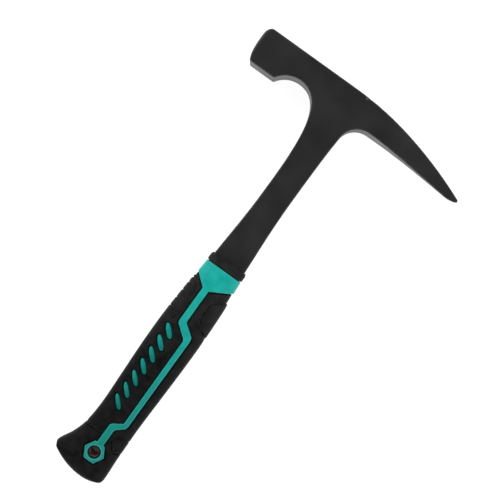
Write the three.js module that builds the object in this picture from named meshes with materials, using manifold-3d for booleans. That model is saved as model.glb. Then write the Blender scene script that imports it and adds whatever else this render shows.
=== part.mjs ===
// Rock hammer: one steel forging (square poll, pointed pick, shank and tang) with a grip of two
// materials moulded on the tang, and a metal eyelet lining the hanging hole through the butt.
// Millimetres. The hammer lies on its side: X runs from poll to pick, Y from butt to head and
// Z through the thickness, which is the same on both faces.
import * as THREE from 'three';
import { mergeVertices } from 'three/addons/utils/BufferGeometryUtils.js';
import Module from 'manifold-3d';

const wasm = await Module();
wasm.setup();

// Overall sizes. Heights are measured along the handle from the butt end.
const overallLength = 330;
const pollReach = 73.7;
const pickReach = 104.2;
const halfThickness = 13;
const seam = 0.3;
const farSide = 60;
const roundSteps = 10;

// Head
const headTop = overallLength;
const pollUnderside = 303.3;
const pollInnerEdge = -50.5;
const pollChamfer = 3.3;
const pollBulge = 0.7;
const eyeHalfThickness = 12.4;
const topChamfer = 1.2;
const scallopX = -33.7;
const scallopY = 294;
const scallopRadius = 18.4;
const pickFilletX = 26.2;
const pickFilletY = 295.3;
const pickFilletRadius = 14.6;
const pickArchX = -1.1;
const pickArchRadius = 276;
const pickArchY = headTop - pickArchRadius;
const tipHeight = 307.8;
const tipRise = 0.6;
const tipHalfThickness = 1.2;

// Shank and tang
const shankRootHalfWidth = 13;
const waistHalfWidth = 10.1;
const waistHeight = 238;
const shankHalfThickness = 6;
const shoulderHeight = 175.6;
const tangHalfWidth = 8;
const tangHalfThickness = 4;
const tangEnd = 31;
const keyHoleHeights = [64, 138];
const keyHoleRadius = 4;

// Grip: height, reach towards the poll, reach towards the pick, half thickness
const gripStations = [
  [0, 25.9, 17.1, 12.4],
  [11, 25.9, 17, 13],
  [22, 20.4, 16.4, 12.9],
  [32.5, 17.1, 16, 12.5],
  [50, 15.8, 15.8, 12.3],
  [75, 16.4, 16.4, 12.8],
  [102, 17.3, 17, 13],
  [126, 17.2, 16.9, 12.9],
  [150, 16.1, 16.1, 12.4],
  [163, 14.9, 15, 12],
  [175, 14.2, 14.2, 11.7],
];
const flangeStations = [
  [174.9, 14.5, 14.5, 11.9],
  [178.6, 14.4, 14.4, 11.6],
  [181.8, 13.7, 13.7, 9.8],
];
const sectionPower = 2 / 3;
const gripSides = 24;
const gripRows = 20;
const gripTop = 174.6;
const buttRadiusPollSide = 47;
const buttRadiusPickSide = 28;
const buttLowestX = 2;
const buttRounding = 5;

// Hard core of the grip
const coreHalfWidth = 12.8;
const coreHalfThickness = 9.4;
const coreBottom = 12;
const coreCornerRadius = 5;
const barCount = 7;
const barTopHeight = 118.7;
const barPitch = 10.03;
const barX = -6.65;
const barHalfSpan = 4.1;
const barRadius = 1.75;
const barTilt = THREE.MathUtils.degToRad(-47);
const barRecess = 1.6;
const barEndSteps = 3;

// Hanging hole
const holeX = 0.2;
const holeY = 21.2;
const bossRadius = 8.1;
const counterboreRadius = 5.2;
const counterboreDepth = 3;
const sleeveBoreRadius = 3.3;
const sleeveWall = 0.6;
const rimRadius = 4.5;
const rimThickness = 0.6;
const eyeletHalfLength = 10.8;
const washerClearance = 0.1;
const roundSides = 24;

// Solids
function toSolid(geometry) {
  geometry.deleteAttribute('normal');
  geometry.deleteAttribute('uv');
  const merged = mergeVertices(geometry);
  const mesh = new wasm.Mesh({
    numProp: 3,
    vertProperties: new Float32Array(merged.attributes.position.array),
    triVerts: new Uint32Array(merged.index.array),
  });
  return new wasm.Manifold(mesh);
}

function toGeometry(solid) {
  const mesh = solid.getMesh();
  const geometry = new THREE.BufferGeometry();
  geometry.setAttribute('position', new THREE.BufferAttribute(mesh.vertProperties, 3));
  geometry.setIndex(new THREE.BufferAttribute(mesh.triVerts, 1));
  geometry.computeVertexNormals();
  return geometry;
}

function extrusion(shape, depth) {
  return new THREE.ExtrudeGeometry(shape, { depth, bevelEnabled: false, curveSegments: roundSteps });
}

// A prism through the thickness, from an outline in X and Y
function prismThrough(shape) {
  return toSolid(extrusion(shape, 2 * farSide).translate(0, 0, -farSide));
}

// A prism across the hammer, from an outline in Y and Z
function prismAcross(shape) {
  const turn = new THREE.Matrix4().makeBasis(
    new THREE.Vector3(0, 1, 0),
    new THREE.Vector3(0, 0, 1),
    new THREE.Vector3(1, 0, 0),
  );
  return toSolid(extrusion(shape, 4 * farSide).translate(0, 0, -2 * farSide).applyMatrix4(turn));
}

// A prism along the handle, from an outline in X and Z, between two heights
function prismAlong(shape, bottom, top) {
  return toSolid(extrusion(shape, top - bottom).rotateX(Math.PI / 2).translate(0, top, 0));
}

function bothHalves(path) {
  const upper = path.getPoints(roundSteps);
  const lower = upper.map((point) => new THREE.Vector2(point.x, -point.y)).reverse();
  return new THREE.Shape([...upper, ...lower]);
}

function outline(points) {
  return new THREE.Shape(points.map(([x, y]) => new THREE.Vector2(x, y)));
}

// A closed skin through the stations, with a rounded-square section
function skin(stations, bottom, top, rows) {
  const heights = stations.map((station) => station[0]);
  const sizes = new THREE.CubicInterpolant(heights, stations.flatMap((station) => station.slice(1)), 3);
  const geometry = new THREE.CylinderGeometry(1, 1, top - bottom, gripSides, rows);
  const position = geometry.attributes.position;
  for (let i = 0; i < position.count; i += 1) {
    const y = position.getY(i) + (top + bottom) / 2;
    const [pollSide, pickSide, thickness] = sizes.evaluate(y);
    const across = position.getX(i);
    const through = position.getZ(i);
    const reach = across < 0 ? pollSide : pickSide;
    const x = Math.sign(across) * Math.abs(across) ** sectionPower * reach;
    const z = Math.sign(through) * Math.abs(through) ** sectionPower * thickness;
    position.setXYZ(i, x, y, z);
  }
  return toSolid(geometry);
}

function roundBar(x, y, radius) {
  const geometry = new THREE.CylinderGeometry(radius, radius, 2 * farSide, roundSides);
  return toSolid(geometry.rotateX(Math.PI / 2).translate(x, y, 0));
}

// Forging: its face outline, its thickness along the handle and its thickness along the head
function forgingOutline() {
  const archStart = Math.PI / 2;
  const archEnd = Math.acos((pickReach - tipRise - pickArchX) / pickArchRadius);
  const faceX = -pollReach;
  const bulgeX = faceX + pollBulge;
  const shape = new THREE.Shape();
  shape.moveTo(-tangHalfWidth, tangEnd);
  shape.lineTo(tangHalfWidth, tangEnd);
  shape.lineTo(tangHalfWidth, shoulderHeight);
  shape.lineTo(shankRootHalfWidth, shoulderHeight);
  shape.bezierCurveTo(11.6, 196, waistHalfWidth, 214, waistHalfWidth, waistHeight);
  const filletLeft = pickFilletX - pickFilletRadius;
  shape.bezierCurveTo(waistHalfWidth, 262, 10.9, 282, filletLeft, pickFilletY);
  shape.absarc(pickFilletX, pickFilletY, pickFilletRadius, Math.PI, Math.PI / 2, true);
  shape.bezierCurveTo(52, 310.4, 84, 306.7, 96, 305.9);
  shape.quadraticCurveTo(101, 305.8, pickReach, tipHeight);
  shape.absarc(pickArchX, pickArchY, pickArchRadius, archEnd, archStart, false);
  shape.lineTo(faceX + pollChamfer, headTop);
  shape.lineTo(bulgeX, headTop - pollChamfer);
  shape.lineTo(faceX, headTop - 2 * pollChamfer);
  shape.lineTo(faceX, pollUnderside + 2 * pollChamfer);
  shape.lineTo(bulgeX, pollUnderside + pollChamfer);
  shape.lineTo(faceX + pollChamfer, pollUnderside);
  shape.lineTo(pollInnerEdge, pollUnderside);
  const scallopStart = Math.PI + Math.asin((scallopY - pollUnderside) / scallopRadius);
  shape.absarc(scallopX, scallopY, scallopRadius, scallopStart, Math.PI / 2, true);
  shape.bezierCurveTo(-15, scallopY + scallopRadius, -10.3, 290, -waistHalfWidth, waistHeight);
  shape.bezierCurveTo(-waistHalfWidth, 214, -11.6, 196, -shankRootHalfWidth, shoulderHeight);
  shape.lineTo(-tangHalfWidth, shoulderHeight);
  return shape;
}

function forgingSideProfile() {
  const path = new THREE.Path();
  path.moveTo(tangEnd, tangHalfThickness);
  path.lineTo(shoulderHeight, tangHalfThickness);
  path.lineTo(shoulderHeight, shankHalfThickness);
  path.lineTo(260, shankHalfThickness);
  path.bezierCurveTo(286, shankHalfThickness, 292, halfThickness, 305, halfThickness);
  path.lineTo(headTop - topChamfer, halfThickness);
  path.lineTo(headTop, halfThickness - topChamfer);
  return bothHalves(path);
}

function forgingPlanProfile() {
  const path = new THREE.Path();
  path.moveTo(-pollReach, halfThickness - 2 * pollChamfer);
  path.lineTo(-pollReach + pollBulge, halfThickness - pollChamfer);
  path.lineTo(-pollReach + pollChamfer, halfThickness);
  path.lineTo(pollInnerEdge, halfThickness);
  path.lineTo(scallopX, eyeHalfThickness);
  path.lineTo(16, eyeHalfThickness);
  path.bezierCurveTo(44, eyeHalfThickness, 56, 4.6, pickReach, tipHalfThickness);
  return bothHalves(path);
}

function forging() {
  let solid = prismThrough(forgingOutline());
  solid = solid.intersect(prismAcross(forgingSideProfile()));
  solid = solid.intersect(prismAlong(forgingPlanProfile(), 0, overallLength + 1));
  for (const height of keyHoleHeights) {
    solid = solid.subtract(roundBar(0, height, keyHoleRadius));
  }
  return solid;
}

// Grip: the whole outer form, which every moulded piece is a share of
function buttOutline() {
  const shape = new THREE.Shape();
  shape.moveTo(farSide, gripTop);
  shape.lineTo(-farSide, gripTop);
  shape.lineTo(-27, 12);
  shape.lineTo(-25.6, 9.2);
  const pollAngle = Math.PI + Math.acos((24.6 + buttLowestX) / buttRadiusPollSide);
  shape.absarc(buttLowestX, buttRadiusPollSide, buttRadiusPollSide, pollAngle, 1.5 * Math.PI, false);
  shape.absarc(buttLowestX, buttRadiusPickSide, buttRadiusPickSide, 1.5 * Math.PI, 1.83 * Math.PI, false);
  shape.lineTo(17.2, 8);
  shape.lineTo(farSide, 12);
  return shape;
}

function buttSideProfile() {
  const path = new THREE.Path();
  path.moveTo(0, halfThickness - buttRounding);
  path.quadraticCurveTo(0, halfThickness, buttRounding, halfThickness);
  path.lineTo(gripTop, halfThickness);
  return bothHalves(path);
}

function gripForm() {
  const form = skin(gripStations, 0, gripTop, gripRows);
  return form.intersect(prismThrough(buttOutline())).intersect(prismAcross(buttSideProfile()));
}

// Core features that come up to the surface, each grown by a gap where rubber is cut back from it
function collar(gap) {
  return prismThrough(outline([
    [20, gripTop + 1],
    [-20, gripTop + 1],
    [-20, 168.6 - gap],
    [-5.4, 156.8 - gap],
    [0.2, 156.8 - gap],
    [20, 167.7 - gap],
  ]));
}

function zigzagRib(gap) {
  return prismThrough(outline([
    [-5.1 - gap, 158],
    [-5.1 - gap, 128],
    [5.4 - gap, 119],
    [5.4 - gap, 48.5],
    [-1.2 - gap, 44],
    [-2.1 - gap, 42.3],
    [-2.1 - gap, 24],
    [2.8 + gap, 24],
    [2.8 + gap, 41],
    [8.8 + gap, 46.2],
    [9.3 + gap, 50],
    [9.7 + gap, 121.8],
    [8.8 + gap, 124.3],
    [-0.3 + gap, 130.7],
    [-0.3 + gap, 158],
  ]));
}

function hexBoss(gap) {
  const radius = bossRadius + gap;
  const geometry = new THREE.CylinderGeometry(radius, radius, 2 * farSide, 6);
  geometry.rotateY(Math.PI / 6);
  return toSolid(geometry.rotateX(Math.PI / 2).translate(holeX, holeY, 0));
}

function bar(index, gap) {
  const radius = barRadius + gap;
  const shape = new THREE.Shape();
  shape.absarc(barHalfSpan, 0, radius, -Math.PI / 2, Math.PI / 2, false);
  shape.absarc(-barHalfSpan, 0, radius, Math.PI / 2, 1.5 * Math.PI, false);
  const geometry = new THREE.ExtrudeGeometry(shape, {
    depth: 2 * farSide,
    bevelEnabled: false,
    curveSegments: barEndSteps,
  });
  geometry.translate(0, 0, -farSide).rotateZ(barTilt);
  return toSolid(geometry.translate(barX, barTopHeight - index * barPitch, 0));
}

function bars(gap) {
  let all = bar(0, gap);
  for (let i = 1; i < barCount; i += 1) {
    all = all.add(bar(i, gap));
  }
  return all;
}

function coreBar(gap) {
  const x = coreHalfWidth + gap;
  const z = coreHalfThickness + gap;
  const r = coreCornerRadius;
  const shape = new THREE.Shape();
  shape.absarc(x - r, z - r, r, 0, Math.PI / 2, false);
  shape.absarc(r - x, z - r, r, Math.PI / 2, Math.PI, false);
  shape.absarc(r - x, r - z, r, Math.PI, 1.5 * Math.PI, false);
  shape.absarc(x - r, r - z, r, 1.5 * Math.PI, 2 * Math.PI, false);
  const geometry = new THREE.ExtrudeGeometry(shape, {
    depth: gripTop - coreBottom + gap,
    bevelEnabled: false,
    curveSegments: 4,
  });
  return toSolid(geometry.rotateX(Math.PI / 2).translate(0, gripTop, 0));
}

function tangPocket() {
  const x = tangHalfWidth + seam;
  const z = tangHalfThickness + seam;
  const shape = outline([[-x, -z], [x, -z], [x, z], [-x, z]]);
  let pocket = prismAlong(shape, tangEnd - seam, gripTop + 1);
  for (const height of keyHoleHeights) {
    pocket = pocket.subtract(roundBar(0, height, keyHoleRadius - seam));
  }
  return pocket;
}

function gripCore(form) {
  const proud = collar(0).add(zigzagRib(0)).add(hexBoss(0)).intersect(form);
  const recessedForm = form.intersect(prismAcross(outline([
    [0, -halfThickness + barRecess],
    [gripTop, -halfThickness + barRecess],
    [gripTop, halfThickness - barRecess],
    [0, halfThickness - barRecess],
  ])));
  let core = proud.add(bars(0).intersect(recessedForm)).add(coreBar(0));
  core = core.subtract(tangPocket());
  core = core.subtract(roundBar(holeX, holeY, sleeveBoreRadius + sleeveWall + seam));
  const mouth = new THREE.CylinderGeometry(counterboreRadius, counterboreRadius, farSide, roundSides);
  const mouthStart = halfThickness - counterboreDepth + farSide / 2;
  mouth.rotateX(Math.PI / 2).translate(holeX, holeY, mouthStart);
  core = core.subtract(toSolid(mouth.clone()));
  return core.subtract(toSolid(mouth.translate(0, 0, -2 * mouthStart)));
}

// The rubber lies round the core, in three mouldings
function rubber(form, region) {
  const share = form.intersect(prismThrough(outline(region)));
  const hard = collar(seam).add(zigzagRib(seam)).add(hexBoss(seam)).add(bars(seam)).add(coreBar(seam));
  return share.subtract(hard);
}

const capLinePollSide = [[-farSide, 32.7], [-17, 32.7], [-6, 34.3], [0, 34.3]];
const capLinePickSide = [[0, 34.3], [5.4, 34.3], [10.4, 27.6], [12.4, 27.2], [14.8, 28.2], [farSide, 28.2]];
const ribMiddle = [[0, 43], [7, 47], [7, 121], [-2.6, 129], [-2.6, gripTop]];

function raised(points) {
  return points.map(([x, y]) => [x, y + seam]);
}

function pollSideRubber(form) {
  return rubber(form, [...raised(capLinePollSide), ...ribMiddle, [-farSide, gripTop]]);
}

function pickSideRubber(form) {
  const ribUp = [...ribMiddle].reverse();
  return rubber(form, [[farSide, gripTop], ...ribUp, ...raised(capLinePickSide)]);
}

function buttCap(form) {
  return rubber(form, [[-farSide, -1], ...capLinePollSide, ...capLinePickSide, [farSide, -1]]);
}

function neckFlange() {
  const bottom = flangeStations[0][0];
  const top = flangeStations[flangeStations.length - 1][0];
  const x = shankRootHalfWidth + seam;
  const z = shankHalfThickness + seam;
  const slot = prismAlong(outline([[-x, -z], [x, -z], [x, z], [-x, z]]), bottom - 1, top + 1);
  return skin(flangeStations, bottom, top, 3).subtract(slot);
}

// Eyelet: a tube with one rolled rim, closed on a washer at the other face
function eyelet() {
  const outer = sleeveBoreRadius + sleeveWall;
  const rimFoot = eyeletHalfLength - rimThickness;
  const profile = [
    [sleeveBoreRadius, -eyeletHalfLength],
    [outer, -eyeletHalfLength],
    [outer, rimFoot],
    [rimRadius, rimFoot],
    [rimRadius, eyeletHalfLength],
    [sleeveBoreRadius, eyeletHalfLength],
    [sleeveBoreRadius, -eyeletHalfLength],
  ].map(([radius, height]) => new THREE.Vector2(radius, height));
  return toSolid(new THREE.LatheGeometry(profile, roundSides).rotateX(Math.PI / 2));
}

function washer() {
  const inner = sleeveBoreRadius + sleeveWall + seam;
  const profile = [
    [inner, 0],
    [rimRadius, 0],
    [rimRadius, rimThickness],
    [inner, rimThickness],
    [inner, 0],
  ].map(([radius, height]) => new THREE.Vector2(radius, height));
  return toSolid(new THREE.LatheGeometry(profile, roundSides).rotateX(Math.PI / 2));
}

// Materials
const blackSteel = { color: 0x2d2d2d, roughness: 0.5, metalness: 0.4 };
const blackRubber = { color: 0x1c1b1b, roughness: 0.8, metalness: 0 };
const tealPlastic = { color: 0x1aaca0, roughness: 0.5, metalness: 0 };
const copperMetal = { color: 0x8a5040, roughness: 0.35, metalness: 1 };

const hammer = new THREE.Group();
const middleX = (pickReach - pollReach) / 2;
hammer.position.set(-middleX, -overallLength / 2, halfThickness);

function addPiece(name, solid, look, x = 0, y = 0, z = 0) {
  const mesh = new THREE.Mesh(toGeometry(solid), new THREE.MeshStandardMaterial(look));
  mesh.name = name;
  mesh.position.set(x, y, z);
  hammer.add(mesh);
}

const form = gripForm();
addPiece('forged_hammer', forging(), blackSteel);
addPiece('neck_flange', neckFlange(), blackRubber);
addPiece('grip_core', gripCore(form), tealPlastic);
addPiece('poll_side_rubber', pollSideRubber(form), blackRubber);
addPiece('pick_side_rubber', pickSideRubber(form), blackRubber);
addPiece('butt_cap', buttCap(form), blackRubber);
addPiece('hanging_hole_eyelet', eyelet(), copperMetal, holeX, holeY, 0);
addPiece('eyelet_washer', washer(), copperMetal, holeX, holeY, -eyeletHalfLength + washerClearance);

const model = new THREE.Group();
model.add(hammer);

export default model;
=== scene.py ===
import bisect
import math
import bmesh
import bpy
from mathutils import Matrix, Vector


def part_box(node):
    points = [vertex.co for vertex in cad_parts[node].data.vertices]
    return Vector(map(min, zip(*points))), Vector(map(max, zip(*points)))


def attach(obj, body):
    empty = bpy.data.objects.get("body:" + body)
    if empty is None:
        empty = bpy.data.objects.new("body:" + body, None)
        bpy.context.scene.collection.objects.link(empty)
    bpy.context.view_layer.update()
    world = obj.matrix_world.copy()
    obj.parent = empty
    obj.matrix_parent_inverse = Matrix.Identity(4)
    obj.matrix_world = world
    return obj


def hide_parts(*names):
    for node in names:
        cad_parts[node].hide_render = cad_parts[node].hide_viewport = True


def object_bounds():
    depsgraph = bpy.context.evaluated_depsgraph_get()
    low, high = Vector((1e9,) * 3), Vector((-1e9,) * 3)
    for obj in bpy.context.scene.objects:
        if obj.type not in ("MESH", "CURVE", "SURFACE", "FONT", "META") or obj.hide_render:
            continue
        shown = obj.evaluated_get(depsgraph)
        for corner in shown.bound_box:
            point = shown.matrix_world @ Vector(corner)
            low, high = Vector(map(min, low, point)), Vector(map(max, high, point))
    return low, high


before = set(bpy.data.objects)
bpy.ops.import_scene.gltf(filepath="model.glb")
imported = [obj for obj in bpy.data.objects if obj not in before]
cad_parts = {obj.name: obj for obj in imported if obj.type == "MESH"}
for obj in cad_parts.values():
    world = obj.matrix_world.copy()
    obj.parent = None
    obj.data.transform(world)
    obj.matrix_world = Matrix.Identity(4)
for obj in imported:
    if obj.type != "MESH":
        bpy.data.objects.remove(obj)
cadLow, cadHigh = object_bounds()
print("frame loaded")

# Shapes are given in millimetres about the handle: x across it towards the pick, y up it from the
# butt, z through the thickness. setDown() then moves the mesh to its place in the frame.
mm = 0.001
neckLow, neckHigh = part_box("neck_flange")
handlePlace = Vector(((neckLow.x + neckHigh.x) / 2, cadLow.y, (cadLow.z + cadHigh.z) / 2))
overallLength = (cadHigh.y - cadLow.y) / mm
halfThickness = (cadHigh.z - cadLow.z) / 2 / mm

farOut = 60  # past both faces and the grip's sides, for tools that cut right through
headFarOut = 150  # past both ends of the head
pastEnd = 5  # how far a tool runs past the end that it opens
alongEnough = 0.9  # an edge runs along an axis when this share of its length does
roundSides, skinSides = 64, 72
sectionPower = 3  # the grip's section is the curve |x|^3 + |z|^3 = 1, scaled to its reaches


# small helpers for the modelling

def deselectAll():
    bpy.ops.object.select_all(action="DESELECT")


def pick(piece):
    deselectAll()
    piece.select_set(True)
    bpy.context.view_layer.objects.active = piece


def useModifier(piece, kind, **settings):
    pick(piece)
    modifier = piece.modifiers.new(kind.lower(), kind)
    for key, value in settings.items():
        setattr(modifier, key, value)
    bpy.ops.object.modifier_apply(modifier=modifier.name)


def combine(piece, tool, operation):  # uses the tool up
    useModifier(piece, "BOOLEAN", object=tool, operation=operation, solver="EXACT")
    bpy.data.objects.remove(tool)
    return piece


def soften(piece, voxel, rounds):  # rounds every edge a little, as moulding and forging do
    useModifier(piece, "REMESH", mode="VOXEL", voxel_size=voxel * mm)
    useModifier(piece, "SMOOTH", factor=0.5, iterations=rounds)


def arc(x, y, radius, start, end, steps):  # angles in degrees
    angles = [math.radians(start + (end - start) * i / steps) for i in range(steps + 1)]
    return [(x + radius * math.cos(a), y + radius * math.sin(a)) for a in angles]


def bow(a, b, c, d, steps):  # a smooth stretch from a to d that b and c pull
    points = []
    for i in range(steps + 1):
        t = i / steps
        k = [(1 - t) ** 3, 3 * t * (1 - t) ** 2, 3 * t * t * (1 - t), t ** 3]
        points.append(tuple(sum(w * p[j] for w, p in zip(k, (a, b, c, d))) for j in (0, 1)))
    return points


def bothSides(points):  # closes an outline with its own mirror image
    return points + [(a, -b) for a, b in reversed(points)]


def slab(name, points, low, high):  # an outline pulled up into a solid
    deselectAll()
    bpy.ops.mesh.primitive_circle_add(vertices=len(points), radius=mm, fill_type="NGON")
    piece = bpy.context.object
    piece.name = name
    for vertex, (x, y) in zip(piece.data.vertices, points):
        vertex.co = (x * mm, y * mm, low * mm)
    bpy.ops.object.mode_set(mode="EDIT")
    bpy.ops.mesh.select_all(action="SELECT")
    bpy.ops.mesh.extrude_region_move(TRANSFORM_OT_translate={"value": (0, 0, (high - low) * mm)})
    bpy.ops.mesh.select_all(action="SELECT")
    bpy.ops.mesh.normals_make_consistent(inside=False)
    bpy.ops.object.mode_set(mode="OBJECT")
    return piece


def slabAcross(name, points):  # an outline in y and z, pulled across the hammer
    piece = slab(name, points, -headFarOut, headFarOut)
    piece.data.transform(Matrix(((0, 0, 1, 0), (1, 0, 0, 0), (0, 1, 0, 0), (0, 0, 0, 1))))
    return piece


def slabAlong(name, points, low, high):  # an outline in x and z, pulled along the handle
    piece = slab(name, points, -high, -low)
    piece.data.transform(Matrix(((1, 0, 0, 0), (0, 0, -1, 0), (0, 1, 0, 0), (0, 0, 0, 1))))
    return piece


def swell(stations, height):  # sizes between stations, each of which starts with its height
    heights = [station[0] for station in stations]
    i = min(max(bisect.bisect(heights, height) - 1, 0), len(stations) - 2)
    step = heights[i + 1] - heights[i]
    t = min(max((height - heights[i]) / step, 0), 1)

    def slope(n):
        before, after = max(n - 1, 0), min(n + 1, len(stations) - 1)
        run = heights[after] - heights[before]
        return [(b - a) / run for a, b in zip(stations[before][1:], stations[after][1:])]

    sizes = []
    for a, b, sa, sb in zip(stations[i][1:], stations[i + 1][1:], slope(i), slope(i + 1)):
        sizes.append(a * (2 * t ** 3 - 3 * t * t + 1) + b * (3 * t * t - 2 * t ** 3)
                     + step * (sa * (t ** 3 - 2 * t * t + t) + sb * (t ** 3 - t * t)))
    return sizes


def smoothStep(low, high, value):
    t = min(max((value - low) / (high - low), 0), 1)
    return t * t * (3 - 2 * t)


def squarer(value, power):  # a power that keeps the sign, which turns a circle squarer
    return math.copysign(abs(value) ** power, value)


def cutAlong(piece, axis, cuts):  # cuts the edges that run along one axis
    pick(piece)
    bpy.ops.object.mode_set(mode="EDIT")
    mesh = bmesh.from_edit_mesh(piece.data)
    for edge in mesh.edges:
        run = edge.verts[0].co - edge.verts[1].co
        edge.select_set(abs(getattr(run, axis)) > alongEnough * run.length)
    bmesh.update_edit_mesh(piece.data)
    bpy.ops.mesh.subdivide(number_cuts=cuts)
    bpy.ops.object.mode_set(mode="OBJECT")


def skin(name, stations, low, high, rings, inset=0):  # a closed form through stations
    deselectAll()
    turn = (math.pi / 2, 0, 0)
    bpy.ops.mesh.primitive_cylinder_add(vertices=skinSides, radius=1, depth=1, rotation=turn)
    piece = bpy.context.object
    piece.name = name
    bpy.ops.object.transform_apply(location=False, rotation=True, scale=False)
    cutAlong(piece, "y", rings)
    for vertex in piece.data.vertices:
        height = low + (vertex.co.y + 0.5) * (high - low)
        pollSide, pickSide, thickness = swell(stations, height)
        reach = (pollSide if vertex.co.x < 0 else pickSide) - inset
        x = squarer(vertex.co.x, 2 / sectionPower) * reach
        z = squarer(vertex.co.z, 2 / sectionPower) * (thickness - inset)
        vertex.co = (x * mm, height * mm, z * mm)
    return piece


def roundTool(x, y, radius, low, high, farRadius=None):  # a cylinder, or a cone with farRadius
    deselectAll()
    bpy.ops.mesh.primitive_cone_add(
        vertices=roundSides, radius1=radius * mm, radius2=(farRadius or radius) * mm,
        depth=(high - low) * mm, location=(x * mm, y * mm, (high + low) / 2 * mm))
    tool = bpy.context.object
    bpy.ops.object.transform_apply(location=True, rotation=True, scale=True)
    return tool


def setDown(piece, node, material):  # moves a finished piece to its place in the frame
    piece.data.transform(Matrix.Translation(handlePlace))
    piece.data.materials.clear()
    piece.data.materials.append(material)
    pick(piece)
    bpy.ops.object.shade_smooth()
    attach(piece, "root")
    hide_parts(node)
    print(piece.name, len(piece.data.polygons), "faces")


# materials: noise scales are per metre and bump depths are in metres

def newMaterial(name, color, roughness, metallic=0.0, specular=0.5):
    material = bpy.data.materials.new(name)
    material.use_nodes = True
    nodes, links = material.node_tree.nodes, material.node_tree.links
    shader = nodes["Principled BSDF"]
    shader.inputs["Base Color"].default_value = (*color, 1)
    shader.inputs["Roughness"].default_value = roughness
    shader.inputs["Metallic"].default_value = metallic
    shader.inputs["Specular IOR Level"].default_value = specular
    place = nodes.new("ShaderNodeTexCoord")
    return material, nodes, links, shader, place


def noiseOf(nodes, links, place, scale, detail=4):
    noise = nodes.new("ShaderNodeTexNoise")
    noise.inputs["Scale"].default_value = scale
    noise.inputs["Detail"].default_value = detail
    links.new(place.outputs["Object"], noise.inputs["Vector"])
    return noise


def rangeOf(nodes, links, source, low, high, fromLow=0.3, fromHigh=0.7):
    spread = nodes.new("ShaderNodeMapRange")
    spread.inputs["From Min"].default_value = fromLow
    spread.inputs["From Max"].default_value = fromHigh
    spread.inputs["To Min"].default_value = low
    spread.inputs["To Max"].default_value = high
    links.new(source, spread.inputs["Value"])
    return spread.outputs["Result"]


def mixOf(nodes, links, factor, colorA, colorB):
    mix = nodes.new("ShaderNodeMix")
    mix.data_type = "RGBA"
    for socket, value in ((mix.inputs[6], colorA), (mix.inputs[7], colorB)):
        if isinstance(value, tuple):
            socket.default_value = (*value, 1)
        else:
            links.new(value, socket)
    links.new(factor, mix.inputs[0])
    return mix.outputs[2]


def bumpOf(nodes, links, height, strength, distance, under=None):
    bump = nodes.new("ShaderNodeBump")
    bump.inputs["Strength"].default_value = strength
    bump.inputs["Distance"].default_value = distance
    links.new(height, bump.inputs["Height"])
    if under:
        links.new(under, bump.inputs["Normal"])
    return bump.outputs["Normal"]


def climbOf(nodes, links, place, axis, between):  # grows from 0 to 1 between two places on an axis
    parts = nodes.new("ShaderNodeSeparateXYZ")
    links.new(place.outputs["Object"], parts.inputs[0])
    low, high = (value * mm + getattr(handlePlace, axis.lower()) for value in between)
    return rangeOf(nodes, links, parts.outputs[axis], 0, 1, low, high)


def distanceOf(nodes, links, place, point):
    away = nodes.new("ShaderNodeVectorMath")
    away.operation = "DISTANCE"
    away.inputs[1].default_value = point
    links.new(place.outputs["Object"], away.inputs[0])
    return away.outputs["Value"]


def mathOf(nodes, links, operation, valueA, valueB):
    joined = nodes.new("ShaderNodeMath")
    joined.operation = operation
    links.new(valueA, joined.inputs[0])
    links.new(valueB, joined.inputs[1])
    return joined.outputs[0]


def unevenGloss(nodes, links, shader, noise, look):  # roughness that wanders with a noise
    low, high = (look["roughness"] + change for change in look["roughnessSpread"])
    links.new(rangeOf(nodes, links, noise.outputs["Fac"], low, high), shader.inputs["Roughness"])


steelLook = {
    "coat": (0.0122, 0.0122, 0.0123), "coatLight": (0.0174, 0.0174, 0.0175),
    "worn": (0.10, 0.098, 0.094), "roughness": 0.40, "roughnessSpread": (-0.05, 0.07),
    "specular": 0.27, "cloudScale": 45, "grainScale": 1400, "dentScale": 260,
    # the coat is worn where an edge is this sharp and the dents' noise is this high
    "sharpBetween": (0.53, 0.60), "wornPatches": (0.42, 0.60), "patchWear": (0.1, 0.9),
    # strength and depth of the relief
    "dentBump": (0.25, 0.0004), "grainBump": (0.35, 0.00012),
    # x, y, z and reach of the knocks that went through the coat, and how bare they are
    "chips": ((11, 328.4, 12.6, 1.5), (-63.6, 302.6, 6, 1.6), (-69.5, 302.8, 9, 2.2)),
    "chipWear": 0.9,
}


def blackSteel():
    look = steelLook
    material, nodes, links, shader, place = newMaterial(
        "blackSteel", look["coat"], look["roughness"], specular=look["specular"])
    cloud = noiseOf(nodes, links, place, look["cloudScale"])
    grain = noiseOf(nodes, links, place, look["grainScale"], detail=2)
    dents = noiseOf(nodes, links, place, look["dentScale"], detail=3)
    mottle = rangeOf(nodes, links, cloud.outputs["Fac"], 0, 1)
    coat = mixOf(nodes, links, mottle, look["coat"], look["coatLight"])
    geometry = nodes.new("ShaderNodeNewGeometry")
    edge = rangeOf(nodes, links, geometry.outputs["Pointiness"], 0, 1, *look["sharpBetween"])
    patch = rangeOf(nodes, links, dents.outputs["Fac"], *look["patchWear"], *look["wornPatches"])
    worn = mathOf(nodes, links, "MULTIPLY", edge, patch)
    for x, y, z, reach in look["chips"]:
        away = distanceOf(nodes, links, place, handlePlace + Vector((x, y, z)) * mm)
        chip = rangeOf(nodes, links, away, look["chipWear"], 0, 0, reach * mm)
        worn = mathOf(nodes, links, "MAXIMUM", worn, chip)
    links.new(mixOf(nodes, links, worn, coat, look["worn"]), shader.inputs["Base Color"])
    unevenGloss(nodes, links, shader, cloud, look)
    under = bumpOf(nodes, links, dents.outputs["Fac"], *look["dentBump"])
    fine = bumpOf(nodes, links, grain.outputs["Fac"], *look["grainBump"], under)
    links.new(fine, shader.inputs["Normal"])
    return material


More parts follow.
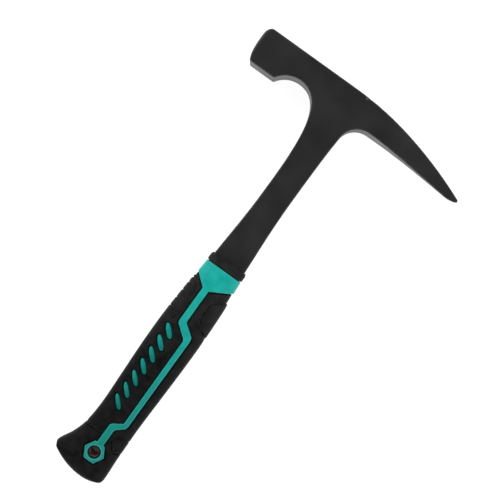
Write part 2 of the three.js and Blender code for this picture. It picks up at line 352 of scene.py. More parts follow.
rubberLook = {
    # the upper colours are a paler, painted-light copy of the rubber for the top of the grip
    "color": (0.0026, 0.0025, 0.0025), "light": (0.0108, 0.0102, 0.0102),
    "upper": (0.0105, 0.0101, 0.0102), "upperLight": (0.0215, 0.0206, 0.0208),
    "edgeHighlight": (0.030, 0.029, 0.028), "roughness": 0.56, "roughnessSpread": (-0.04, 0.10),
    "specular": 0.06, "cloudScale": 170, "pebbleScale": 900, "fineScale": 3200,
    "paintedLightBetween": (95, 158),  # heights over which the rubber is painted paler towards the neck: painted light, as if the top of the grip were lit more
    "edgeHighlightAmount": 0.5, "highlightedEdges": (0.54, 0.66),
    "pebbleDepth": 0.00025, "fineBump": (0.3, 0.00006), "grained": 0.8, "smooth": 0.12,
}


def blackRubber(name, grain):
    look = rubberLook
    material, nodes, links, shader, place = newMaterial(
        name, look["color"], look["roughness"], specular=look["specular"])
    cloud = noiseOf(nodes, links, place, look["cloudScale"])
    pebble = nodes.new("ShaderNodeTexVoronoi")
    pebble.inputs["Scale"].default_value = look["pebbleScale"]
    links.new(place.outputs["Object"], pebble.inputs["Vector"])
    fine = noiseOf(nodes, links, place, look["fineScale"], detail=2)
    mottle = rangeOf(nodes, links, cloud.outputs["Fac"], 0, 1)
    shadedTowardsButt = mixOf(nodes, links, mottle, look["color"], look["light"])
    # painted light: a paler copy of the rubber towards the neck and a darker one towards the butt, as if
    # lit more at the top
    upper = mixOf(nodes, links, mottle, look["upper"], look["upperLight"])
    climb = climbOf(nodes, links, place, "Y", look["paintedLightBetween"])
    base = mixOf(nodes, links, climb, shadedTowardsButt, upper)
    geometry = nodes.new("ShaderNodeNewGeometry")
    sharp = geometry.outputs["Pointiness"]
    # painted highlight: paler lines along sharp edges, where light would catch them
    edge = rangeOf(nodes, links, sharp, 0, look["edgeHighlightAmount"], *look["highlightedEdges"])
    links.new(mixOf(nodes, links, edge, base, look["edgeHighlight"]), shader.inputs["Base Color"])
    unevenGloss(nodes, links, shader, cloud, look)
    under = bumpOf(nodes, links, pebble.outputs["Distance"], grain, look["pebbleDepth"])
    normal = bumpOf(nodes, links, fine.outputs["Fac"], *look["fineBump"], under)
    links.new(normal, shader.inputs["Normal"])
    return material


tealLook = {
    # the rim colour is a painted highlight, the deep colour a painted shade, and the colour towards the
    # butt a darker, painted-shade copy
    "color": (0.0025, 0.308, 0.268), "light": (0.0090, 0.405, 0.356), "rim": (0.052, 0.34, 0.31),
    "shadedTowardsButt": (0.0060, 0.203, 0.168), "deep": (0.0015, 0.040, 0.036),
    "roughness": 0.48, "roughnessSpread": (-0.05, 0.08), "specular": 0.14,
    "cloudScale": 150, "fineScale": 2200, "fineBump": (0.25, 0.00008),
    "shadeFadeBetween": (25, 152),  # heights over which the teal's painted shade fades out towards the neck: the teal is painted darker towards the butt, where less light falls
    "highlightAmount": 0.6, "shadeBetween": (0.030, 0.115),
}


def tealPlastic():
    look = tealLook
    material, nodes, links, shader, place = newMaterial(
        "tealPlastic", look["color"], look["roughness"], specular=look["specular"])
    cloud = noiseOf(nodes, links, place, look["cloudScale"])
    fine = noiseOf(nodes, links, place, look["fineScale"], detail=3)
    mottle = rangeOf(nodes, links, cloud.outputs["Fac"], 0, 1)
    mottledTeal = mixOf(nodes, links, mottle, look["color"], look["light"])
    # painted shade: the teal is mixed darker towards the butt, where less light falls
    climb = climbOf(nodes, links, place, "Y", look["shadeFadeBetween"])
    base = mixOf(nodes, links, climb, look["shadedTowardsButt"], mottledTeal)
    rim, depth = nodes.new("ShaderNodeAttribute"), nodes.new("ShaderNodeAttribute")
    rim.attribute_name, depth.attribute_name = "rim", "depth"
    # painted highlight: paler rims along the edges of the collar, rib, boss, the grip's top and the
    # hole's mouth
    atRim = rangeOf(nodes, links, rim.outputs["Fac"], 0, look["highlightAmount"], 0, 1)
    highlighted = mixOf(nodes, links, atRim, base, look["rim"])
    # painted shade: the teal is darker the deeper it lies under the grip's outer form, in the grooves,
    # the hole's mouth and on the sunk bars
    sunk = rangeOf(nodes, links, depth.outputs["Fac"], 0, 1, *look["shadeBetween"])
    links.new(mixOf(nodes, links, sunk, highlighted, look["deep"]), shader.inputs["Base Color"])
    unevenGloss(nodes, links, shader, cloud, look)
    normal = bumpOf(nodes, links, fine.outputs["Fac"], *look["fineBump"])
    links.new(normal, shader.inputs["Normal"])
    return material


eyeletLook = {
    # the rim colour is a painted shadow for the top rim down in the hole's mouth
    "color": (0.72, 0.230, 0.190), "dark": (0.36, 0.120, 0.100), "rim": (0.024, 0.026, 0.025),
    "roughness": 0.38, "roughnessSpread": (-0.06, 0.16), "metallic": 0.30,
    "cloudScale": 420, "stainBetween": (0.35, 0.6), "scratchScale": 1800,
    "scratchBump": (0.3, 0.00008), "rimShadowBetween": (9.2, 10.0),
}


def eyeletMetal():
    look = eyeletLook
    material, nodes, links, shader, place = newMaterial(
        "eyeletMetal", look["color"], look["roughness"], metallic=look["metallic"])
    cloud = noiseOf(nodes, links, place, look["cloudScale"])
    scratch = noiseOf(nodes, links, place, look["scratchScale"], detail=3)
    stain = rangeOf(nodes, links, cloud.outputs["Fac"], 0, 1, *look["stainBetween"])
    bore = mixOf(nodes, links, stain, look["dark"], look["color"])
    # painted shadow: the rim at the top of the tube, down in the hole's mouth, is painted nearly black
    atRim = climbOf(nodes, links, place, "Z", look["rimShadowBetween"])
    links.new(mixOf(nodes, links, atRim, bore, look["rim"]), shader.inputs["Base Color"])
    unevenGloss(nodes, links, shader, scratch, look)
    normal = bumpOf(nodes, links, scratch.outputs["Fac"], *look["scratchBump"])
    links.new(normal, shader.inputs["Normal"])
    return material


steelCoat, hardTeal, dullCopper = blackSteel(), tealPlastic(), eyeletMetal()
grainedRubber = blackRubber("grainedRubber", rubberLook["grained"])
smoothRubber = blackRubber("smoothRubber", rubberLook["smooth"])
print("materials ready")


# the forging: head, shank and tang in one

forging = {
    "pollReach": 73.7, "pickReach": 104.7, "pollUnderside": 302.5, "pollInnerEdge": -49.2,
    "pollHalfThickness": 13, "eyeHalfThickness": 12.4, "tipHeight": 307.8, "tipHalfThickness": 1.6,
    "scallop": (-33.7, 293.5, 18.3), "scallopLip": 0.4, "pickFillet": (26.2, 295.2, 14.6),
    "arch": (-1.1, 54, 276), "shoulder": 175.6, "rootHalfWidth": 13.0,
    "waistPollSide": 10.1, "waistPickSide": 10.4, "waistHeight": 238, "shankHalfThickness": 6,
    # what pulls the two sides of the shank from the foot to the head
    "footPull": (12.0, 196), "lowPull": 214, "highPull": 262, "pickRootPull": (10.7, 283),
    "pollRootPull": (-9.4, 288), "scallopPull": -13.7,
    # the underside of the pick, from the fillet to the tip
    "pickUnderside": ((52, 310.2), (84, 306.5), (96, 305.7)),
    "tipUnderside": ((99.3, 305.6), (102.5, 306.4)), "tipRound": 0.3,
    # corners of the striking face, measured from the face and from the top or the underside, and
    # what pulls the face between them
    "topCorner": ((4.6, 0), (2.3, -0.8), (0.9, -2.8), (0.5, -5.4)), "facePull": (-10, 12),
    "lowCorner": ((1.5, 5), (2.0, 3.2), (2.7, 1.2), (3.6, 0)),
    # the head seen from the side: where it gets thicker, and the chamfer along its top
    "flareStart": 258, "flarePull": (286, 291), "flareEnd": 305, "topChamfer": 0.8,
    # the head seen from above: the rounded face, measured from the face, then poll, eye and pick
    "facePlan": ((0, 4), (0, 8), (0.2, 10.6), (0.5, 11.7)),
    "faceEdgePlan": ((0.5, 11.7), (0.7, 12.4), (1.0, 12.8), (1.7, 13)),
    "pollPlan": (-50.5, -46, -44, -38), "pickPlan": (16, 44), "pickPull": (56, 4.6),
    "tangEnd": 31, "tangHalfWidth": 8, "tangHalfThickness": 4, "keyHoles": (64, 138),
    "keyHoleRadius": 4, "voxel": 0.7, "smoothing": 5,
}


def shankSides():
    f = forging
    waist, foot, low = f["waistHeight"], f["rootHalfWidth"], f["shoulder"]
    footX, footY = f["footPull"]
    wide = f["waistPickSide"]
    x, y, r = f["pickFillet"]
    pickSide = bow((foot, low), (footX, footY), (wide, f["lowPull"]), (wide, waist), 12)
    pickSide += bow((wide, waist), (wide, f["highPull"]), f["pickRootPull"], (x - r, y), 16)[1:]
    wide = -f["waistPollSide"]
    x, y, r = f["scallop"]
    pollSide = bow((x, y + r), (f["scallopPull"], y + r), f["pollRootPull"], (wide, waist), 40)
    pollSide += bow((wide, waist), (wide, f["lowPull"]), (-footX, footY), (-foot, low), 12)[1:]
    return pickSide, pollSide


def headOutline():
    f = forging
    top = overallLength
    pickSide, pollSide = shankSides()
    points = [(-f["tangHalfWidth"], f["tangEnd"]), (f["tangHalfWidth"], f["tangEnd"])]
    points += [(f["tangHalfWidth"], f["shoulder"])] + pickSide
    x, y, r = f["pickFillet"]
    points += arc(x, y, r, 180, 90, 18)[1:]
    points += bow((x, y + r), *f["pickUnderside"], 24)[1:]
    tip = (f["pickReach"] - f["tipRound"], f["tipHeight"] - f["tipRound"])
    points += bow(f["pickUnderside"][-1], *f["tipUnderside"], tip, 6)[1:]
    x, y, r = f["arch"]
    tipAngle = math.degrees(math.acos((f["pickReach"] - 2 * f["tipRound"] - x) / r))
    points += arc(x, y, r, tipAngle, 90, 40)
    face, low = -f["pollReach"], f["pollUnderside"]
    topCorner = [(face + x, top + y) for x, y in f["topCorner"]]
    lowCorner = [(face + x, low + y) for x, y in f["lowCorner"]]
    pullDown, pullUp = f["facePull"]
    points += bow(*topCorner, 6)
    points += bow(topCorner[-1], (face, top + pullDown), (face, low + pullUp), lowCorner[0], 8)[1:]
    points += bow(*lowCorner, 5)[1:]
    points.append((f["pollInnerEdge"], low))
    x, y, r = f["scallop"]
    start = 180 + math.degrees(math.asin((y - low - f["scallopLip"]) / r))
    points += arc(x, y, r, start, 90, 24)
    points += pollSide[1:]
    points.append((-f["tangHalfWidth"], f["shoulder"]))
    return points


def headSideProfile():
    f = forging
    shank, top = f["shankHalfThickness"], overallLength
    thin, thick = f["flarePull"]
    points = [(f["tangEnd"], f["tangHalfThickness"]), (f["shoulder"], f["tangHalfThickness"])]
    points.append((f["shoulder"], shank))
    points += bow((f["flareStart"], shank), (thin, shank), (thick, halfThickness),
                  (f["flareEnd"], halfThickness), 24)
    points += [(top - f["topChamfer"], halfThickness), (top, halfThickness - f["topChamfer"])]
    return bothSides(points)


def headPlanProfile():
    f = forging
    face, poll, eye = -f["pollReach"], f["pollHalfThickness"], f["eyeHalfThickness"]
    pollEnd, pollPull, eyePull, eyeStart = f["pollPlan"]
    eyeEnd, pickPull = f["pickPlan"]
    points = bow(*[(face + x, z) for x, z in f["facePlan"]], 5)
    points += bow(*[(face + x, z) for x, z in f["faceEdgePlan"]], 4)[1:]
    points += bow((pollEnd, poll), (pollPull, poll), (eyePull, eye), (eyeStart, eye), 6)
    points += bow((eyeEnd, eye), (pickPull, eye), f["pickPull"],
                  (f["pickReach"], f["tipHalfThickness"]), 40)
    return bothSides(points)


def buildForging():
    f = forging
    piece = slab("hammerForging", headOutline(), -farOut, farOut)
    combine(piece, slabAcross("sideProfile", headSideProfile()), "INTERSECT")
    plan = slabAlong("planProfile", headPlanProfile(), -farOut, overallLength + farOut)
    combine(piece, plan, "INTERSECT")
    for height in f["keyHoles"]:
        combine(piece, roundTool(0, height, f["keyHoleRadius"], -farOut, farOut), "DIFFERENCE")
    soften(piece, f["voxel"], f["smoothing"])
    setDown(piece, "forged_hammer", steelCoat)


buildForging()
print("forging ready")


# the grip: one outer form, shared out between the hard core and the soft mouldings

grip = {
    # height, reach towards the poll, reach towards the pick, half thickness
    "stations": (
        (0, 25.9, 17.1, 12.4), (11, 25.9, 17.0, 13.0), (22, 20.5, 16.4, 12.9), (32.5, 17.2, 16.2, 12.5),
        (50, 15.8, 16.0, 12.3), (75, 16.5, 16.6, 12.8), (102, 17.4, 17.2, 13.0), (126, 17.4, 17.2, 12.9),
        (150, 16.2, 16.4, 12.4), (163, 15.2, 15.2, 12.0), (175, 14.2, 14.3, 11.7),
    ),
    "top": 174.2, "rings": 90, "groove": 1.05, "barGroove": 0.84, "seam": 0.05, "voxel": 0.5,
    "smoothing": 4,
    # the butt line: two arcs that meet at the lowest point, and a corner at each side
    "lowestX": 2, "pollButtRadius": 50, "pickButtRadius": 28, "buttAngles": (239, 296),
    "pollButtCorner": ((-27.5, 13.4), (-26.4, 11.6), (-25.2, 9.9)),
    "pickButtCorner": ((15.8, 3.8), (16.6, 5.2), (17.1, 7.2)), "pickButtSide": 16,
    # how far the butt line rises at the faces, and the tool that is bent to it
    "buttRounding": 5.5, "buttEase": 0.3, "buttHeight": 40, "buttOver": 1, "buttCuts": 55,
}
coreShape = {
    # the hidden body, with the same four sizes to a station
    "body": (
        (12, 14.6, 14.3, 10.9), (33, 15.0, 14.2, 10.8), (50, 14.1, 14.1, 10.6), (75, 14.8, 14.7, 11.1),
        (102, 15.7, 15.3, 11.3), (126, 15.6, 15.2, 11.2), (150, 14.4, 14.4, 10.7),
        (163, 13.4, 13.4, 10.3), (174.7, 12.9, 12.9, 10.2),
    ),
    "rings": 60, "recess": 0.12, "collarReach": 20, "collarOver": 3,
    "collarVee": ((-20, 168.6), (-5.4, 156.8), (0.2, 156.8), (20, 167.7)),
    # the zig-zag rib's two edges
    "ribLeft": ((-5.1, 159), (-5.1, 128.4), (-4.5, 127.1), (4.9, 119.7), (5.5, 118.3), (5.6, 49.2),
                (5.1, 48.0), (-1.2, 44.1), (-2.1, 42.5), (-2.1, 24)),
    "ribRight": ((2.8, 24), (2.8, 40.5), (3.4, 41.6), (8.5, 45.8), (9.3, 47.5), (9.6, 121.0),
                 (8.9, 123.8), (0.4, 130.0), (-0.3, 131.2), (-0.3, 159)),
    "ribShift": 0.3,
    "barCount": 7, "barTop": 118.7, "barPitch": 10.03, "barX": -6.65, "barHalfLength": 5.8,
    "barHalfWidth": 1.95, "barSlimming": 0.05, "barTilt": -46, "barRecess": 0.95, "barLean": -2.1,
    "bluntEnd": 0.6, "slimEnd": 0.98, "barCrown": 0.86,
    "hole": (0.3, 20.9), "bossRadius": 8.0, "bossSpread": 1.15, "sleeveHole": 3.8,
    "mouthRadius": 4.2, "mouthRim": 4.9, "mouthDepth": 3.0, "mouthOver": 0.2,
    "tangClearance": 0.3, "voxel": 0.4, "smoothing": 3, "keptFaces": 0.5,
    # how deep and how far from an edge the painted highlights on the rims reach, and how much softening
    # rounds the edge
    "highlightDepth": 0.04, "highlightWidth": (0.3, 0.8), "rimRound": 0.3,
}


def buttTool(inset):  # everything above the butt line, which rises towards both faces
    g = grip
    x, top = g["lowestX"], g["top"] + pastEnd
    start, end = g["buttAngles"]
    points = [(farOut, top), (-farOut, top)]
    points += [(cornerX, y + inset) for cornerX, y in g["pollButtCorner"]]
    points += arc(x, g["pollButtRadius"], g["pollButtRadius"] - inset, start, 270, 16)
    points += arc(x, g["pickButtRadius"], g["pickButtRadius"] - inset, 270, end, 10)[1:]
    points += [(cornerX, y + inset) for cornerX, y in g["pickButtCorner"]]
    points.append((farOut, g["pickButtSide"]))
    tool = slab("buttTool", points, -halfThickness - g["buttOver"], halfThickness + g["buttOver"])
    cutAlong(tool, "z", g["buttCuts"])
    for vertex in tool.data.vertices:
        if vertex.co.y < g["buttHeight"] * mm:
            share = min(abs(vertex.co.z) / mm / (halfThickness + g["buttEase"]), 1)
            vertex.co.y += g["buttRounding"] * (1 - math.sqrt(1 - share * share)) * mm
    return tool


def gripBlank(name, inset=0.0):
    piece = skin(name, grip["stations"], 0, grip["top"], grip["rings"], inset)
    return combine(piece, buttTool(inset), "INTERSECT")


def collarOutline(gap):
    side, top = coreShape["collarReach"], grip["top"] + coreShape["collarOver"]
    return [(side, top), (-side, top)] + [(x, y - gap) for x, y in coreShape["collarVee"]]


def ribOutline(gap):
    shift = coreShape["ribShift"] * gap
    left = [(x - gap, y - shift) for x, y in coreShape["ribLeft"]]
    return left + [(x + gap, y + shift) for x, y in coreShape["ribRight"]]


def bossOutline(gap):  # a corner of the six moves out further than a side does
    x, y = coreShape["hole"]
    return arc(x, y, coreShape["bossRadius"] + coreShape["bossSpread"] * gap, 0, 300, 5)


def hardFace(gap):  # everything of the core that comes up to the surface in one tool, but for the bars
    tool = slab("collar", collarOutline(gap), -farOut, farOut)
    combine(tool, slab("rib", ribOutline(gap), -farOut, farOut), "UNION")
    return combine(tool, slab("boss", bossOutline(gap), -farOut, farOut), "UNION")


def barSlab(index, gap):  # a leaf with one blunt end, a little slimmer from bar to bar to the butt
    c = coreShape
    length = c["barHalfLength"] + gap
    width = c["barHalfWidth"] - c["barSlimming"] * index + gap
    turn = math.radians(c["barTilt"])
    middleY = c["barTop"] - index * c["barPitch"]
    points = []
    for x, y in arc(0, 0, 1, 0, 350, 35):
        x = squarer(x, c["bluntEnd"] if x > 0 else c["slimEnd"]) * length
        y = squarer(y, c["barCrown"]) * width
        points.append((c["barX"] + x * math.cos(turn) - y * math.sin(turn),
                       middleY + x * math.sin(turn) + y * math.cos(turn)))
    return slab("bar" + str(index + 1), points, -farOut, farOut)


def coreBody(gap):  # the hard body under the soft mouldings
    body = [(station[0], *(size + gap for size in station[1:])) for station in coreShape["body"]]
    return skin("coreBody", body, body[0][0] - gap, body[-1][0] + gap, coreShape["rings"])


def depthIn(x, y, z):  # how deep a point lies under the grip's outer form, as a share of its size
    pollSide, pickSide, thickness = swell(grip["stations"], y)
    reach = pollSide if x < 0 else pickSide
    across, through = abs(x / reach) ** sectionPower, abs(z / thickness) ** sectionPower
    return 1 - (across + through) ** (1 / sectionPower)


def besideLine(points, x, y):  # signed distance to a line of points, positive on its right going up
    nearest = None
    for (xa, ya), (xb, yb) in zip(points, points[1:]):
        dx, dy = xb - xa, yb - ya
        t = min(max(((x - xa) * dx + (y - ya) * dy) / (dx * dx + dy * dy), 0), 1)
        gapX, gapY = x - xa - t * dx, y - ya - t * dy
        distance = math.hypot(gapX, gapY)
        if nearest is None or distance < abs(nearest):
            nearest = math.copysign(distance, gapX * dy - gapY * dx)
    return nearest


def insideShape(points, x, y):  # how far inside a closed shape, negative outside
    edge = min(abs(besideLine([a, b], x, y)) for a, b in zip(points, points[1:] + points[:1]))
    inside = False
    for (xa, ya), (xb, yb) in zip(points, points[1:] + points[:1]):
        if (ya > y) != (yb > y) and x < xa + (xb - xa) * (y - ya) / (yb - ya):
            inside = not inside
    return edge if inside else -edge


def notePaintedLight(piece):  # for the material's painted light: painted shade, darker in the grooves and recesses, and painted highlights, paler on the rims
    c = coreShape
    depth = piece.data.attributes.new("depth", "FLOAT", "POINT")
    rim = piece.data.attributes.new("rim", "FLOAT", "POINT")
    shapes = collarOutline(0), ribOutline(0), bossOutline(0)
    holeX, holeY = c["hole"]
    for i, vertex in enumerate(piece.data.vertices):
        x, y, z = (value / mm for value in vertex.co)
        sunk = max(depthIn(x, y, z), 0)
        depth.data[i].value = sunk
        if sunk < c["highlightDepth"]:
            fromEdge = abs(max(insideShape(shape, x, y) for shape in shapes))
            fromMouth = abs(math.hypot(x - holeX, y - holeY) - c["mouthRim"] - c["rimRound"])
            nearest = min(fromEdge, fromMouth, abs(grip["top"] - y))
            rim.data[i].value = 1 - smoothStep(*c["highlightWidth"], nearest)


def tangPocket():  # with two keys left standing, which go through the tang's holes
    gap = coreShape["tangClearance"]
    x, z = forging["tangHalfWidth"] + gap, forging["tangHalfThickness"] + gap
    section = [(-x, -z), (x, -z), (x, z), (-x, z)]
    pocket = slabAlong("tangPocket", section, forging["tangEnd"] - gap, grip["top"] + pastEnd)
    for height in forging["keyHoles"]:
        key = roundTool(0, height, forging["keyHoleRadius"] - gap, -farOut, farOut)
        combine(pocket, key, "DIFFERENCE")
    return pocket


def buildCore():
    c = coreShape
    x, y = c["hole"]
    piece = gripBlank("gripCore", c["recess"])
    combine(piece, hardFace(0), "INTERSECT")
    bars = barSlab(0, 0)
    for i in range(1, c["barCount"]):
        combine(bars, barSlab(i, 0), "UNION")
    barSurface = skin("barSurface", grip["stations"], 0, grip["top"], c["rings"], c["barRecess"])
    barSurface.data.transform(Matrix.Translation((c["barLean"] * mm, 0, 0)))
    combine(bars, barSurface, "INTERSECT")
    combine(piece, bars, "UNION")
    combine(piece, coreBody(0), "UNION")
    combine(piece, tangPocket(), "DIFFERENCE")
    combine(piece, roundTool(x, y, c["sleeveHole"], -farOut, farOut), "DIFFERENCE")
    foot, lip = halfThickness - c["mouthDepth"], halfThickness + c["mouthOver"]
    narrow, wide = c["mouthRadius"], c["mouthRim"]
    combine(piece, roundTool(x, y, narrow, foot, lip, wide), "DIFFERENCE")
    combine(piece, roundTool(x, y, wide, -lip, -foot, narrow), "DIFFERENCE")
    soften(piece, c["voxel"], c["smoothing"])
    useModifier(piece, "DECIMATE", ratio=c["keptFaces"])
    notePaintedLight(piece)
    setDown(piece, "grip_core", hardTeal)


buildCore()
print("core ready")


# the soft mouldings

capLine = {  # where the butt cap meets the two sides
    "pollSide": [(-farOut, 32.9), (-15, 32.9), (-12, 33.4), (-6.4, 33.8), (0, 34.4)],
    "pickSide": [(0, 34.4), (5.4, 34.4), (10.4, 27.4), (12.4, 27.2), (14.8, 28.2), (farOut, 28.2)],
}
overTop = 180  # above the grip's top
# under the rib, where the poll side and the pick side meet
ribMiddle = [(0, 43), (7, 47), (7, 121), (-2.6, 129), (-2.6, overTop)]
# only the outer skin sinks, to this share of depth, and it sinks more through than across
pressing = {"skin": 0.055, "slant": 0.35, "around": 2}


def press(piece, points, depth, amountAt):  # sinks the outer skin near an outline, on both faces
    low = min(p[1] for p in points) - pressing["around"]
    high = max(p[1] for p in points) + pressing["around"]
    for vertex in piece.data.vertices:
        x, y, z = (value / mm for value in vertex.co)
        if low < y < high and depthIn(x, y, z) < pressing["skin"]:
            pull = Vector((x * pressing["slant"], 0, z)).normalized()
            vertex.co -= pull * depth * amountAt(x, y) * mm


def pressPanel(piece, panel):  # sinks the band, which fades in going up
    band, soft = panel["band"], panel["soft"]

    def amountAt(x, y):
        return smoothStep(-soft, soft, insideShape(band, x, y)) * smoothStep(*panel["fade"], y)

    press(piece, band, panel["depth"], amountAt)


def pressLine(piece, points, depth, halfWidth):
    def amountAt(x, y):
        return 1 - smoothStep(0, halfWidth, abs(besideLine(points, x, y)))

    press(piece, points, depth, amountAt)


def rubberPiece(name, region, withBars):
    gap = grip["groove"]
    piece = gripBlank(name)
    combine(piece, slab("share", region, -farOut, farOut), "INTERSECT")
    combine(piece, coreBody(grip["seam"]), "DIFFERENCE")
    combine(piece, hardFace(gap), "DIFFERENCE")
    if withBars:
        for i in range(coreShape["barCount"]):
            combine(piece, barSlab(i, grip["barGroove"]), "DIFFERENCE")
    soften(piece, grip["voxel"], grip["smoothing"])
    return piece


pollPanel = {  # the ridged panel on the poll side, with a smooth band between it and the rib
    "band": [(-24, 161.3), (-14.2, 160.2), (-8.5, 155.2), (-8.2, 130.4), (-6.6, 127.6), (0, 122.4),
             (12, 122), (12, 175), (-24, 175)],
    "edge": [(-15.5, 158.6), (-13.2, 157.6), (-8.9, 154.0), (-8.5, 131.0), (-10.0, 127.0)],
    "depth": 0.9, "soft": 0.35, "fade": (122, 130), "edgeDepth": 1.0, "edgeHalfWidth": 1.0,
    "ridges": (162.2, 155.2, 148.2, 141.2, 134.2), "ridgeDepth": 0.8, "ridgeHalfWidth": 0.8,
    "ridgeEnds": ((-24, 1.6), (-12.6, -2.2)),  # across the handle, and up from the ridge's height
}
thumbPanel = {  # the raised thumb panel on the pick side, with a smooth band between it and the rib
    "band": [(-6, 175), (24, 175), (24, 158.6), (14.6, 157.2), (7.6, 152.2), (6.8, 149.5), (6.8, 140),
             (7.8, 136.8), (12.2, 132.0), (18, 128), (18, 120), (-6, 120)],
    "edge": [(24, 158.2), (14.8, 156.8), (7.5, 151.0), (6.9, 149.0), (6.8, 138.6), (9.8, 132.6),
             (14.0, 130.0)],
    "depth": 1.0, "soft": 0.35, "fade": (122, 134), "edgeDepth": 1.4, "edgeHalfWidth": 1.0,
}
buttGrooves = {
    "pollSide": [(-24, 33.6), (-14, 34.6), (-9.2, 36.4), (-7.4, 41.6), (-5.0, 45.6), (1.5, 49.8)],
    "pickSide": [(6.2, 34), (6.4, 36.6), (8.8, 39.2), (13.2, 39.6), (24, 36.2)],
    "depth": 0.6, "halfWidth": 1.1, "seamDepth": 0.4, "seamHalfWidth": 0.9,
}


def pressButt(piece, side):  # the groove above the cap's seam, and this side's half of the seam
    b = buttGrooves
    pressLine(piece, b[side], b["depth"], b["halfWidth"])
    pressLine(piece, capLine[side], b["seamDepth"], b["seamHalfWidth"])


def buildPollSide():
    p = pollPanel
    region = [(x, y + grip["seam"]) for x, y in capLine["pollSide"]]
    region += ribMiddle + [(-farOut, overTop)]
    piece = rubberPiece("pollSideRubber", region, True)
    pressPanel(piece, p)
    for height in p["ridges"]:
        ridge = [(x, height + up) for x, up in p["ridgeEnds"]]
        pressLine(piece, ridge, p["ridgeDepth"], p["ridgeHalfWidth"])
    pressLine(piece, p["edge"], p["edgeDepth"], p["edgeHalfWidth"])
    pressButt(piece, "pollSide")
    setDown(piece, "poll_side_rubber", grainedRubber)


def buildPickSide():
    p = thumbPanel
    region = [(farOut, overTop)] + ribMiddle[::-1]
    region += [(x, y + grip["seam"]) for x, y in capLine["pickSide"]]
    piece = rubberPiece("pickSideRubber", region, False)
    pressPanel(piece, p)
    pressLine(piece, p["edge"], p["edgeDepth"], p["edgeHalfWidth"])
    pressButt(piece, "pickSide")
    setDown(piece, "pick_side_rubber", grainedRubber)


def buildCap():
    low = -pastEnd
    region = [(-farOut, low)] + capLine["pollSide"] + capLine["pickSide"][1:] + [(farOut, low)]
    piece = rubberPiece("buttCap", region, False)
    for line in (capLine["pollSide"], capLine["pickSide"]):
        pressLine(piece, line, buttGrooves["seamDepth"], buttGrooves["seamHalfWidth"])
    setDown(piece, "butt_cap", smoothRubber)


buildPollSide()
buildPickSide()
buildCap()
print("rubber ready")


# the lip at the neck

neck = {
    # height, reach towards the poll, reach towards the pick, half thickness
    "stations": (
        (174.75, 14.2, 14.2, 11.4), (175.5, 14.5, 14.5, 11.6), (177.0, 14.5, 14.5, 11.2),
        (179.0, 14.5, 14.5, 9.6), (180.2, 14.1, 14.1, 8.4), (181.4, 13.2, 13.2, 7.0),
    ),
    "rings": 24, "voxel": 0.35, "smoothing": 2, "slack": 0.12, "slotPower": 0.45,
}


def buildNeck():
    low, high = neck["stations"][0][0], neck["stations"][-1][0]
    piece = skin("neckLip", neck["stations"], low, high, neck["rings"])
    x = forging["rootHalfWidth"] + neck["slack"]
    z = forging["shankHalfThickness"] + neck["slack"]
    section = []
    for i in range(roundSides):
        a = 2 * math.pi * i / roundSides
        section.append((squarer(math.cos(a), neck["slotPower"]) * x,
                        squarer(math.sin(a), neck["slotPower"]) * z))
    combine(piece, slabAlong("shankSlot", section, low - pastEnd, high + pastEnd), "DIFFERENCE")
    soften(piece, neck["voxel"], neck["smoothing"])
    setDown(piece, "neck_flange", smoothRubber)


buildNeck()


# the eyelet and its washer

eyelet = {
    "bore": 3.2, "wall": 0.45, "rim": 3.95, "rimThickness": 0.5, "halfLength": 10.6, "around": 72,
    # edges under the rim, outside the foot and inside it
    "underRim": 0.3, "footEdge": 0.2, "footBore": (0.25, 0.3),
    # how the tube opens, measured from the bore and from its top
    "mouth": ((0.4, 0), (0.2, -0.1), (0.05, -0.35), (0, -1.2)),
    "washerRim": 4.15, "washerEdge": 0.1, "washerGap": 0.1, "mergeWithin": 0.01,
}


def spunRing(name, section):  # a closed section of radius and height, spun round the hole
    x, y = coreShape["hole"]
    deselectAll()
    bpy.ops.mesh.primitive_circle_add(vertices=len(section), radius=mm, fill_type="NOTHING")
    piece = bpy.context.object
    piece.name = name
    for vertex, (radius, height) in zip(piece.data.vertices, section):
        vertex.co = ((x + radius) * mm, y * mm, height * mm)
    bpy.ops.object.mode_set(mode="EDIT")
    bpy.ops.mesh.select_all(action="SELECT")
    bpy.ops.mesh.spin(steps=eyelet["around"], angle=2 * math.pi, center=(x * mm, y * mm, 0),
                      axis=(0, 0, 1))
    bpy.ops.mesh.select_all(action="SELECT")
    bpy.ops.mesh.remove_doubles(threshold=eyelet["mergeWithin"] * mm)
    bpy.ops.mesh.normals_make_consistent(inside=False)
    bpy.ops.object.mode_set(mode="OBJECT")
    return piece


def buildEyelet():
    e = eyelet
    bore, outer, top = e["bore"], e["bore"] + e["wall"], e["halfLength"]
    foot, roll = top - e["rimThickness"], e["rimThickness"] / 2
    edge, under = e["footEdge"], e["underRim"]
    footX, footY = e["footBore"]
    section = [(bore + footX, -top), (outer - edge, -top), (outer, -top + edge)]
    section += [(outer, foot - under), (outer + under, foot)]
    section += arc(e["rim"] - roll, top - roll, roll, -90, 90, 8)
    section += [(bore + out, top + up) for out, up in e["mouth"]]
    section.append((bore, -top + footY))
    tube = spunRing("holeEyelet", section)
    setDown(tube, "hanging_hole_eyelet", dullCopper)


def buildWasher():
    e = eyelet
    inner, low = e["bore"] + e["wall"] + e["washerGap"], -e["halfLength"] + e["washerGap"]
    thick, wide, edge = e["rimThickness"], e["washerRim"], e["washerEdge"]
    ring = [(inner + edge, low), (wide - edge, low), (wide, low + edge), (wide, low + thick - edge)]
    ring += [(wide - edge, low + thick), (inner + edge, low + thick), (inner, low + thick - edge)]
    ring.append((inner, low + edge))
    washer = spunRing("eyeletWasher", ring)
    setDown(washer, "eyelet_washer", dullCopper)


buildEyelet()
buildWasher()
print("eyelet ready")


# floor, light and camera: the floor and the lights are in metres, the camera in millimetres

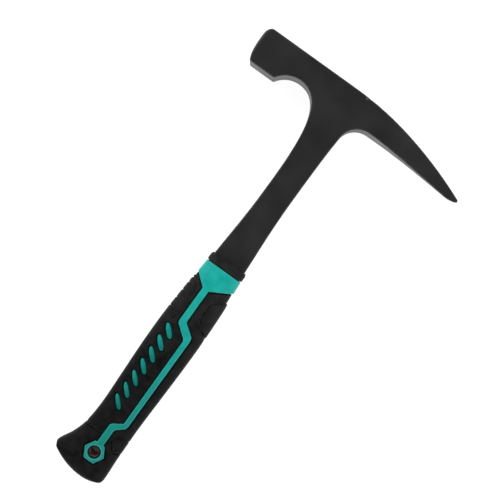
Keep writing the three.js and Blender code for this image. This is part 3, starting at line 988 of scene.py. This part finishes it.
studio = {
    "floorSize": 8.0, "floorDrop": 0.0002, "floorColor": (0.22, 0.22, 0.22), "floorRoughness": 0.9,
    "floorSpecular": 0.1, "floorGlow": 0.92, "holeShadowGlow": 0.03, "glowBetween": (0.010, 0.014),
    "worldLight": 0.24,
    "cameraAim": (6.24, 196.6), "cameraDistance": 900, "frameWidth": 349.2, "roll": 35.7,
    "sensorWidth": 36, "clipNear": 0.01, "clipFar": 50,
    # size, power and place
    "lights": {
        "keyLight": ((1.1, 0.9), 15, (-1.1, 0.55, 0.75)),
        "fillLight": ((1.1, 0.9), 10, (1.15, -0.25, 0.65)),
        "footLight": ((1.0, 0.7), 9, (-0.3, -1.25, 0.55)),
        "headLight": ((1.0, 0.7), 7, (0.35, 1.25, 0.65)),
    },
}


def buildFloor():
    deselectAll()
    place = (0, 0, -studio["floorDrop"])
    bpy.ops.mesh.primitive_plane_add(size=studio["floorSize"], location=place)
    floor = bpy.context.object
    floor.name = "studioFloor"
    material, nodes, links, shader, place = newMaterial(
        "paleFloor", studio["floorColor"], studio["floorRoughness"], specular=studio["floorSpecular"])
    shader.inputs["Emission Color"].default_value = (1, 1, 1, 1)
    # the floor glows, except under the butt, where it would show through the hole: there it is left
    # dark, a painted shadow
    hole = handlePlace + Vector((*coreShape["hole"], 0)) * mm
    hole.z = 0
    away = distanceOf(nodes, links, place, hole)
    glow = rangeOf(nodes, links, away, studio["holeShadowGlow"], studio["floorGlow"], *studio["glowBetween"])
    links.new(glow, shader.inputs["Emission Strength"])
    floor.data.materials.append(material)


def addLight(name, size, power, place):  # aimed at the middle of the hammer
    deselectAll()
    bpy.ops.object.light_add(type="AREA", location=place)
    light = bpy.context.object
    light.name = name
    light.data.shape = "RECTANGLE"
    light.data.size, light.data.size_y = size
    light.data.energy = power
    light.rotation_euler = (-Vector(place)).to_track_quat("-Z", "Y").to_euler()


def buildStudio():
    world = bpy.data.worlds.new("studioWorld")
    world.use_nodes = True
    world.node_tree.nodes["Background"].inputs["Color"].default_value = (1, 1, 1, 1)
    world.node_tree.nodes["Background"].inputs["Strength"].default_value = studio["worldLight"]
    bpy.context.scene.world = world
    for name, (size, power, place) in studio["lights"].items():
        addLight(name, size, power, place)


def buildCamera():
    data = bpy.data.cameras.new("photoCamera")
    camera = bpy.data.objects.new("photoCamera", data)
    bpy.context.collection.objects.link(camera)
    aimX, aimY = studio["cameraAim"]
    camera.location = handlePlace + Vector((aimX, aimY, studio["cameraDistance"])) * mm
    camera.rotation_euler = (0, 0, math.radians(studio["roll"]))
    data.sensor_width = studio["sensorWidth"]
    data.lens = studio["sensorWidth"] * studio["cameraDistance"] / studio["frameWidth"]
    data.clip_start, data.clip_end = studio["clipNear"], studio["clipFar"]
    bpy.context.scene.camera = camera


buildFloor()
buildStudio()
buildCamera()
bpy.context.scene.view_settings.view_transform = "Standard"
print("studio ready")
